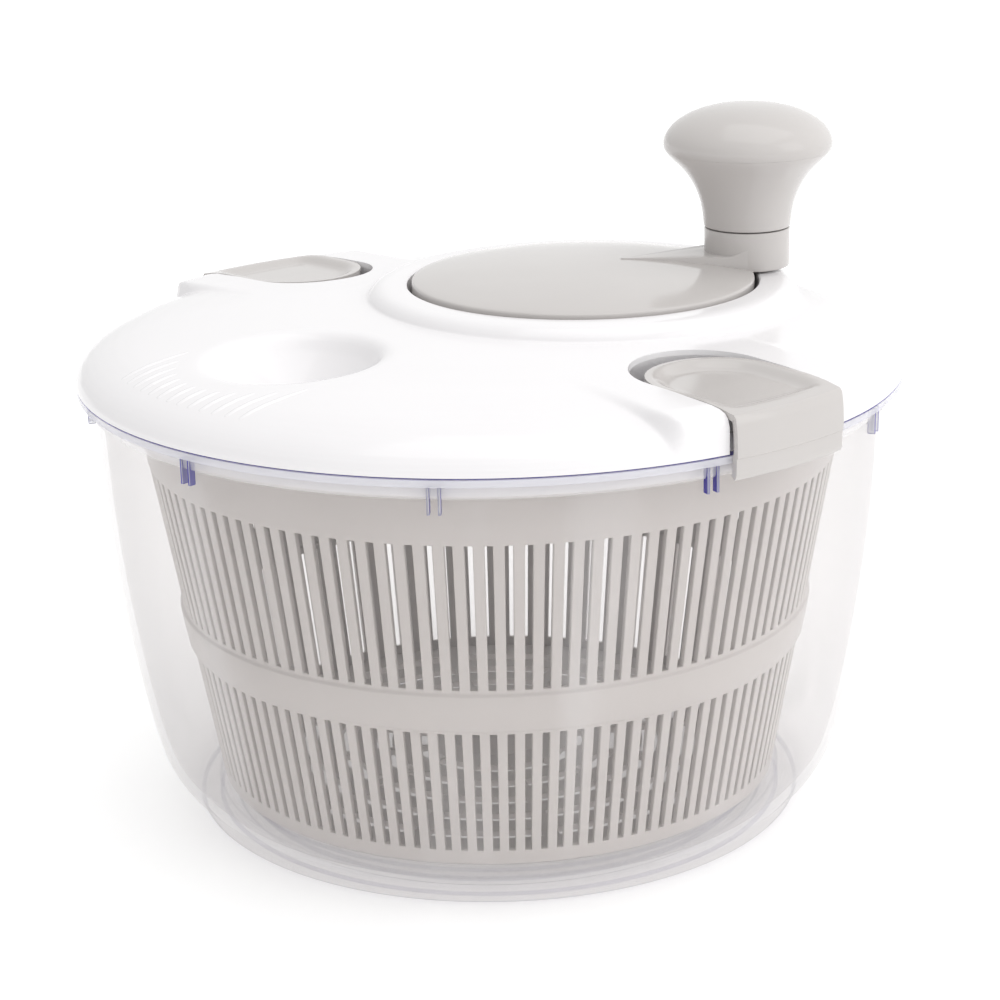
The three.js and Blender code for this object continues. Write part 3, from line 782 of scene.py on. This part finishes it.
def makeLidDome():
    # spun skin; beside the clips each point moves from the plain outline to the square-shouldered one
    count = (len(lidShape["plain"]) - 1) * lidShape["rowsPerStep"]
    rows = []
    angles = lidAngles()
    for i in range(count + 1):
        r0, z0 = profileAt(lidShape["plain"], i / count)
        r1, z1 = profileAt(lidShape["shoulder"], i / count)
        row = []
        for angle in angles:
            share = shoulderShare(r0 * math.cos(angle), r0 * math.sin(angle))
            radius, height = r0 + (r1 - r0) * share, z0 + (z1 - z0) * share
            row.append((radius * mm * math.cos(angle), radius * mm * math.sin(angle), height * mm))
        rows.append(row)
    dome = gridSheet("lidShell", rows, closed=True)
    pointUp(dome)
    applyModifier(dome, "SOLIDIFY", thickness=lidShape["thickness"] * mm, offset=-1)
    overlap = lidShape["overlap"]
    collarPlan = circlePlan((lidShape["collarFoot"][-1][0] - overlap) * mm, 192, crankX, crankY)
    dishPlan = circlePlan((lidShape["dishRim"][-1][0] - overlap) * mm, 128, 0, lidShape["dishY"] * mm)
    plan = fingerPlan(lidShape["pocketInner"], lidShape["pocketOuter"], lidShape["pocketHalf"])
    plan = offsetPlan(plan, overlap - lidShape["lip"])
    plan = [(136, plan[0][1])] + plan + [(136, plan[-1][1])]
    pockets = [[point[:2] for point in placed(side, plan, 0)] for side in (1, -1)]
    for outline in (collarPlan, dishPlan, *pockets):
        cutWith(dome, prism("lidCutter", outline, 120 * mm, 170 * mm))
    return dome


def blendedRound(name, section, blend, x, y, steps, wall):
    # turned rows, then rows that flow onto the lid, whose height changes round them
    angles = [2 * math.pi * c / steps for c in range(steps + 1)]
    rows = [polarRow(radius, height, angles, x, y) for radius, height in section]
    last = section[-1][1]
    for radius, share in blend:
        row = []
        for px, py, _ in polarRow(radius, 0, angles, x, y):
            base = lidHeight(px / mm, py / mm)
            row.append((px, py, (base + (last - base) * share) * mm))
        rows.append(row)
    sheet = gridSheet(name, rows, closed=True)
    faceUp(sheet)
    applyModifier(sheet, "SOLIDIFY", thickness=wall * mm, offset=-1)
    return sheet


def makeCollar():
    return blendedRound("lidCollar", lidShape["collar"], lidShape["collarFoot"], crankX, crankY, 256,
                        lidShape["collarWall"])


def makeDish():
    return blendedRound("lidDish", lidShape["dish"], lidShape["dishRim"], 0, lidShape["dishY"] * mm, 160,
                        lidShape["dishWall"])


def makePocket(side):
    # rounded lip, walls and floor of the recess that holds a clip
    lip, floor = lidShape["lip"], lidShape["pocketFloor"]
    plan = fingerPlan(lidShape["pocketInner"], lidShape["pocketOuter"], lidShape["pocketHalf"])
    outer = offsetPlan(plan, -lip)
    lipRows = 5
    rows = []
    for k in range(lipRows + 1):
        angle = math.pi / 2 * k / lipRows
        drop = lip * (1 - math.cos(angle))
        ring = offsetPlan(plan, -lip * (1 - math.sin(angle)))
        rows.append([(side * x * mm, side * y * mm, (lidHeight(ox, oy) - drop) * mm)
                     for (x, y), (ox, oy) in zip(ring, outer)])
    for rise, inset, scoop in lidShape["scoop"]:
        rows.append(placed(side, offsetPlan(plan, inset, scoop), floor + rise))
    lowest = offsetPlan(plan, *lidShape["scoop"][-1][1:])
    for share in (0.6, 0.25, 0.0):
        rows.append(placed(side, [(x, y * share) for x, y in lowest], floor))
    pocket = gridSheet("lidPocket", rows, closed=True)
    faceUp(pocket)
    applyModifier(pocket, "SOLIDIFY", thickness=lidShape["pocketWall"] * mm, offset=-1)
    return pocket


def makeGripRibs():
    # fine parallel ridges between the dish and the rim
    shape = lidShape
    ribs = []
    for i in range(shape["ribs"]):
        x = (i - (shape["ribs"] - 1) / 2) * shape["ribPitch"]
        start = shape["dishY"] - math.sqrt(shape["ribInner"] ** 2 - x * x)
        end = -math.sqrt(shape["ribOuter"] ** 2 - x * x)
        rows = []
        for k in range(shape["ribStations"] + 1):
            t = k / shape["ribStations"]
            y = start + (end - start) * t
            fade = math.sin(math.pi * t) ** 0.35 if 0 < t < 1 else 0.0
            row = []
            for across in (-1, -0.66, -0.33, 0, 0.33, 0.66, 1):
                px = x + across * shape["ribHalf"]
                lift = shape["ribRise"] * fade * (0.5 + 0.5 * math.cos(math.pi * across)) - shape["ribSink"]
                row.append((px * mm, y * mm, (lidHeight(px, y) + lift) * mm))
            rows.append(row)
        rib = gridSheet("lidRib", rows)
        faceUp(rib)
        applyModifier(rib, "SOLIDIFY", thickness=0.8 * mm, offset=-1)
        ribs.append(rib)
    return ribs


def makeLid():
    dome = makeLidDome()
    skirt = spun("lidSkirt", rounded(lidShape["skirt"], 3), 192)
    bossOutline = [(radius * mm, height * mm) for radius, height in lidShape["boss"]]
    bosses = []
    for degrees in lidShape["bossAngles"]:
        angle, reach = math.radians(degrees), lidShape["bossCircle"] * mm
        bosses.append(spun("lidBoss", bossOutline, 24, reach * math.cos(angle), reach * math.sin(angle)))
    joinInto(dome, skirt, makeCollar(), makeDish(), makePocket(1), makePocket(-1), *makeGripRibs(), *bosses)
    smoothByAngle(dome, 35)
    finishPiece(dome, "lid", "lid_white", "lid_cover")
    print("lid", len(dome.data.polygons), "faces")


makeLid()


clipShape = {
    "inner": 78, "half": 20.5, "curve": 127.0, "thickness": 1.9, "stations": 40, "columns": 32,
    # side view of the top skin: distance from the lid's axis and height, in mm
    "pad": [(78, 149.8), (84, 149.8), (92, 149.7), (100, 149.6), (114, 149.2), (121, 148.5), (126.1, 147.5)],
    "face": [
        (126.9, 146.6), (127.3, 144.6), (127.6, 142), (127.75, 138.6), (127.7, 135.9), (127.4, 135.6),
        (127.3, 131.4), (127, 130.2), (126.4, 129.6),
    ],
    "dishDepth": 2.2, "rail": 1.5, "slope": 5.5, "dishEnd": 125.2,
    "hook": [
        (122.4, -19), (125.3, -19), (126.6, -10), (126.9, 0), (126.6, 10), (125.3, 19), (122.4, 19),
        (123.4, 10), (124, 0), (123.4, -10),
    ],
    "hookLow": 129.7, "hookHigh": 132.3,
    "barrel": [(1.75, -14.6), (3, -14.6), (3, 14.6), (1.75, 14.6)],
    "web": (3, 28, 3.4), "webLift": 2.2,
}


def clipRow(x, z, dished):
    # one row of points across the clip, from its left edge to its right
    half, centre = clipShape["half"], clipShape["inner"] + clipShape["half"]
    rail, full = clipShape["rail"], clipShape["rail"] + clipShape["slope"]
    width = half if x >= centre else math.sqrt(max(0.0, half ** 2 - (centre - x) ** 2))
    row = []
    for k in range(clipShape["columns"] + 1):
        y = math.sin((2 * k / clipShape["columns"] - 1) * math.pi / 2) * width
        side = half - abs(y) if x >= centre else half - math.hypot(centre - x, y)
        end = (clipShape["dishEnd"] - x) * 0.8
        sink = 0.0
        if dished:
            sink = clipShape["dishDepth"] * smoothStep(rail, full, side) * smoothStep(rail, full, end)
        bend = y * y / (2 * clipShape["curve"]) * smoothStep(96, 125, x)
        row.append(((x - bend) * mm, y * mm, (z - sink) * mm))
    return row


def makeClip(side, name):
    shape = clipShape
    pad = shape["pad"]
    outline = [(radius, height) for radius, height in reversed(pad)]
    start = shape["inner"] + 0.02
    rows = []
    for i in range(shape["stations"] + 1):
        x = start + (pad[-1][0] - start) * (1 - math.cos(math.pi * i / shape["stations"])) / 2
        rows.append(clipRow(x, heightOn(outline, x), True))
    rows += [clipRow(x, z, False) for x, z in shape["face"]]
    clip = gridSheet(name, rows)
    pointUp(clip)
    applyModifier(clip, "SOLIDIFY", thickness=shape["thickness"] * mm, offset=-1, use_even_offset=True)
    bevelSharp(clip, 0.45, 3, 48)
    hookPlan = [(x * mm, y * mm) for x, y in shape["hook"]]
    hook = prism("hook", hookPlan, shape["hookLow"] * mm, shape["hookHigh"] * mm)
    bevelSharp(hook, 0.4, 2, 50)
    barrel = spun("barrel", [(radius * mm, height * mm) for radius, height in shape["barrel"]], 40)
    barrel.rotation_euler = (math.pi / 2, 0, 0)
    barrel.location = (clipPinX, 0, clipPinZ)
    settle(barrel)
    deselectAll()
    bpy.ops.mesh.primitive_cube_add(size=1)
    web = bpy.context.object
    web.scale = [length * mm for length in shape["web"]]
    web.location = (clipPinX, 0, clipPinZ + shape["webLift"] * mm)
    settle(web)
    joinInto(clip, hook, barrel, web)
    if side < 0:
        makeActive(clip)
        bpy.ops.object.mode_set(mode="EDIT")
        bpy.ops.mesh.select_all(action="SELECT")
        bpy.ops.transform.rotate(value=math.pi, orient_axis="Z", center_override=(0, 0, 0))
        bpy.ops.object.mode_set(mode="OBJECT")
    smoothByAngle(clip, 35)
    node = "clip_right" if side > 0 else "clip_left"
    finishPiece(clip, node, "soft_grey", node)


makeClip(1, "clipRightShell")
makeClip(-1, "clipLeftShell")
print("clips made")


springShape = {
    "x": 93, "seat": 139.1, "low": 139.5, "pitch": 1.225, "turns": 4, "coil": 3, "wire": 0.36,
    "stepsPerTurn": 24, "around": 10, "pressed": 0.5,
}


def makeSpring(side, node):
    # a coil under each pad
    shape = springShape
    steps, around = shape["stepsPerTurn"], shape["around"]
    rows = []
    for i in range(shape["turns"] * steps + 1):
        angle = 2 * math.pi * i / steps
        row = []
        for k in range(around + 1):
            turn = 2 * math.pi * k / around
            radius = shape["coil"] + shape["wire"] * math.cos(turn)
            height = shape["low"] + shape["pitch"] * i / steps + shape["wire"] * math.sin(turn)
            row.append((shape["x"] + radius * math.cos(angle), radius * math.sin(angle), height))
        rows.append([(side * x * mm, side * y * mm, z * mm) for x, y, z in row])
    coil = gridSheet(node + "Coil", rows, closed=True)
    fillHoles(coil)
    smoothByAngle(coil, 40)
    finishPiece(coil, "lid", "steel", node)
    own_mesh(coil)


makeSpring(1, "clip_spring_right")
makeSpring(-1, "clip_spring_left")
print("springs made")


crankShape = {
    "disc": [
        (0, 161.2, 0), (16, 160.9, 6), (30, 160.1, 6), (42, 158.8, 4), (50, 157.5, 2), (53.5, 156.7, 0.8),
        (53.5, 150.1, 0.4), (51.7, 150.1, 0.4), (51.7, 154.4, 0.5), (42, 156.6, 4), (30, 157.9, 4),
        (13, 158.7, 0.5), (13, 144.3, 0.5), (7, 144.3, 0.3), (7, 133.5, 0.4), (2.9, 133.5, 0.3),
        (2.9, 150, 0.2), (0, 150, 0),
    ],
    "boss": [
        (4.3, 160.6, 0), (7, 160.6, 0.2), (7, 156.3, 0.2), (13.5, 156.3, 0.5), (13.5, 168.5, 0.35),
        (4.3, 168.5, 0.2),
    ],
    "bossRadius": 13.5, "armStart": 12.5, "armLow": 157.2, "armTop": 161.25, "filletRise": 3.4,
    "armEdge": 0.35, "armStations": 28,
}


def armRow(half, low, top):
    # section of the arm, all the way round: distance from its middle line, and height
    edge = min(crankShape["armEdge"] * mm, 0.4 * half)
    left = [
        (-half, low), (-half, top - edge), (-half + edge * 0.3, top - edge * 0.3), (-half + edge, top),
        (-half * 0.4, top),
    ]
    return left + [(0, top)] + [(-across, z) for across, z in reversed(left)] + left[:1]


def makeCrank():
    shape = crankShape
    disc = spun("crankDiscShell", rounded(shape["disc"], 4), 192, crankX, crankY)
    reach = math.hypot(knobX - crankX, knobY - crankY)
    heading = math.atan2(knobY - crankY, knobX - crankX)
    boss = spun("boss", rounded(shape["boss"], 4), 96, knobX, knobY)
    # the arm is a wedge that starts as a point on the disc and widens until it wraps the boss
    radius, start = shape["bossRadius"] * mm, shape["armStart"] * mm
    tangent = math.asin(radius / (reach - start))
    rows = []
    for i in range(shape["armStations"] + 1):
        t = i / shape["armStations"]
        distance = start + (reach - radius * math.sin(tangent) - start) * t
        half = max(0.05 * mm, (distance - start) * math.tan(tangent))
        top = (shape["armTop"] + shape["filletRise"] * smoothStep(0.84, 1.08, t)) * mm
        rows.append([(crankX + distance * math.cos(heading) - across * math.sin(heading),
                      crankY + distance * math.sin(heading) + across * math.cos(heading), z)
                     for across, z in armRow(half, shape["armLow"] * mm, top)])
    arm = gridSheet("arm", rows, closed=True)
    fillHoles(arm)
    joinInto(disc, arm, boss)
    smoothByAngle(disc, 30)
    finishPiece(disc, "crank", "soft_grey", "crank_disc")
    print("crank", len(disc.data.polygons), "faces")


makeCrank()


knobShape = {
    "grip": [
        (4.3, 168.9, 0.2), (13.6, 168.9, 0.4), (13.75, 170, 0), (13.95, 172, 0), (14.25, 174.2, 0),
        (14.75, 176.6, 0), (15.5, 179, 0), (16.5, 181.4, 0), (17.9, 183.9, 0), (19.6, 186.3, 0),
        (21.5, 188.4, 0), (23.4, 190.2, 0), (24.9, 191.7, 0), (25.8, 192.86, 0.05), (24.6, 192.86, 0.2),
        (20.6, 189.6, 0), (17, 187, 0), (14, 184.6, 0), (4.3, 184.6, 0.2),
    ],
    "cap": [
        (25.85, 192.88, 0.05), (26.25, 193.7, 0), (26.45, 194.8, 0), (26.4, 196, 0), (26, 197.4, 0),
        (25.2, 198.9, 0), (23.8, 200.6, 0), (21.6, 202.4, 0), (18.6, 204.1, 0), (14.8, 205.6, 0),
        (10.2, 206.7, 0), (5.2, 207.25, 0), (0, 207.4, 0), (0, 205.2, 0), (9.6, 204.4, 0), (16.6, 202.4, 0),
        (21.2, 199.8, 0), (23.6, 197.2, 0), (24.2, 195.2, 0), (23.8, 193.9, 0), (23.6, 192.88, 0.1),
    ],
}


def makeKnob():
    for part, name, node in (("grip", "knobGripShell", "knob_grip"), ("cap", "knobCapShell", "knob_cap")):
        piece = spun(name, rounded(knobShape[part], 3), 128, knobX, knobY)
        smoothByAngle(piece, 40)
        finishPiece(piece, "knob", "soft_grey", node)
    print("knob made")


makeKnob()


replaced = {
    "bowl", "basket", "lid_cover", "clip_right", "clip_left", "clip_spring_right", "clip_spring_left",
    "crank_disc", "knob_grip", "knob_cap",
}
nodeSlots = {entry["node"]: entry["material_slot"] for entry in frame["record"]["subparts"]}
for node, slotName in nodeSlots.items():
    if node in replaced:
        continue
    kept = frame["nodes"][node] if isinstance(frame["nodes"], dict) else bpy.data.objects[node]
    kept.data.materials.clear()
    kept.data.materials.append(slotMaterials[slotName])
    smoothByAngle(kept, 32)
print("kept nodes dressed")


stageLook = {
    "floor": (0.7, 0.7, 0.7), "glow": 0.43, "floorSize": 30,
    "dimSide": 0.62, "brightSide": 1.36, "fromSide": (0.64, 0.77, 0.1), "top": 5.0, "side": 2.6,
}


def makeStage():
    deselectAll()
    bpy.ops.mesh.primitive_plane_add(size=stageLook["floorSize"], location=(0, 0, -0.05 * mm))
    floor = bpy.context.object
    floor.name = "floor"
    material, nodes, links, shader = plainMaterial("paleFloor")
    shader.inputs["Base Color"].default_value = (*stageLook["floor"], 1)
    shader.inputs["Roughness"].default_value = 0.6
    shader.inputs["Emission Color"].default_value = (1, 1, 1, 1)
    shader.inputs["Emission Strength"].default_value = stageLook["glow"]
    floor.data.materials.append(material)
    world = bpy.data.worlds.new("softRoom")
    bpy.context.scene.world = world
    world.use_nodes = True
    # the room is brighter on one side than on the other
    nodes, links = world.node_tree.nodes, world.node_tree.links
    place = nodes.new("ShaderNodeTexCoord")
    toSide = nodes.new("ShaderNodeVectorMath")
    toSide.operation = "DOT_PRODUCT"
    toSide.inputs[1].default_value = stageLook["fromSide"]
    links.new(place.outputs["Generated"], toSide.inputs[0])
    dim, bright = stageLook["dimSide"], stageLook["brightSide"]
    level = mappedRange(nodes, links, toSide.outputs["Value"], -1, 1, dim, bright)
    nodes["Background"].inputs["Color"].default_value = (1, 1, 1, 1)
    links.new(level, nodes["Background"].inputs["Strength"])


def addPanel(name, place, aim, size, power):
    deselectAll()
    bpy.ops.object.light_add(type="AREA", location=place)
    panel = bpy.context.object
    panel.name = name
    panel.data.shape = "RECTANGLE"
    panel.data.size, panel.data.size_y = size
    panel.data.energy = power
    panel.rotation_euler = (Vector(aim) - Vector(place)).to_track_quat("-Z", "Y").to_euler()


cameraRig = {"azimuth": 50.3, "elevation": 20.2, "distance": 0.7874, "aimHeight": 0.0518, "lens": 89.68,
             "roll": 1.27, "tiltUp": 2.757, "panLeft": -0.099}


def turnedPair(first, second, angle):
    # both vectors turned in their own plane, the first towards the second
    across, along = math.sin(angle), math.cos(angle)
    return first * along + second * across, second * along - first * across


def makeCamera():
    rig = cameraRig
    azimuth, elevation = math.radians(rig["azimuth"]), math.radians(rig["elevation"])
    right = Vector((math.cos(azimuth), math.sin(azimuth), 0))
    ahead = Vector((-math.sin(azimuth), math.cos(azimuth), 0))
    forward = (ahead * math.cos(elevation) - Vector((0, 0, 1)) * math.sin(elevation)).normalized()
    up = right.cross(forward)
    aim = Vector((0, 0, rig["aimHeight"]))
    bpy.ops.object.camera_add(location=aim - forward * rig["distance"])
    camera = bpy.context.object
    roll = math.radians(rig["roll"])
    tilt, pan = math.radians(rig["tiltUp"]), math.radians(rig["panLeft"])
    right, up = turnedPair(right, up, -roll)
    forward, up = turnedPair(forward, up, tilt)
    right, forward = turnedPair(right, forward, pan)
    camera.rotation_mode = "QUATERNION"
    turn = Matrix((right, up, -forward)).transposed()
    camera.rotation_quaternion = turn.to_quaternion()
    camera.data.lens = rig["lens"]
    camera.data.sensor_width = 36
    camera.data.clip_start, camera.data.clip_end = 0.02, 20
    bpy.context.scene.camera = camera


makeStage()
addPanel("topPanel", (0.2, 0.1, 1.6), (0, 0, 0.1), (1.4, 1.4), stageLook["top"])
addPanel("sidePanel", (1.5, 0.6, 0.9), (0, 0, 0.1), (0.9, 1.1), stageLook["side"])
makeCamera()
bpy.context.scene.view_settings.view_transform = "Standard"
print("stage set")
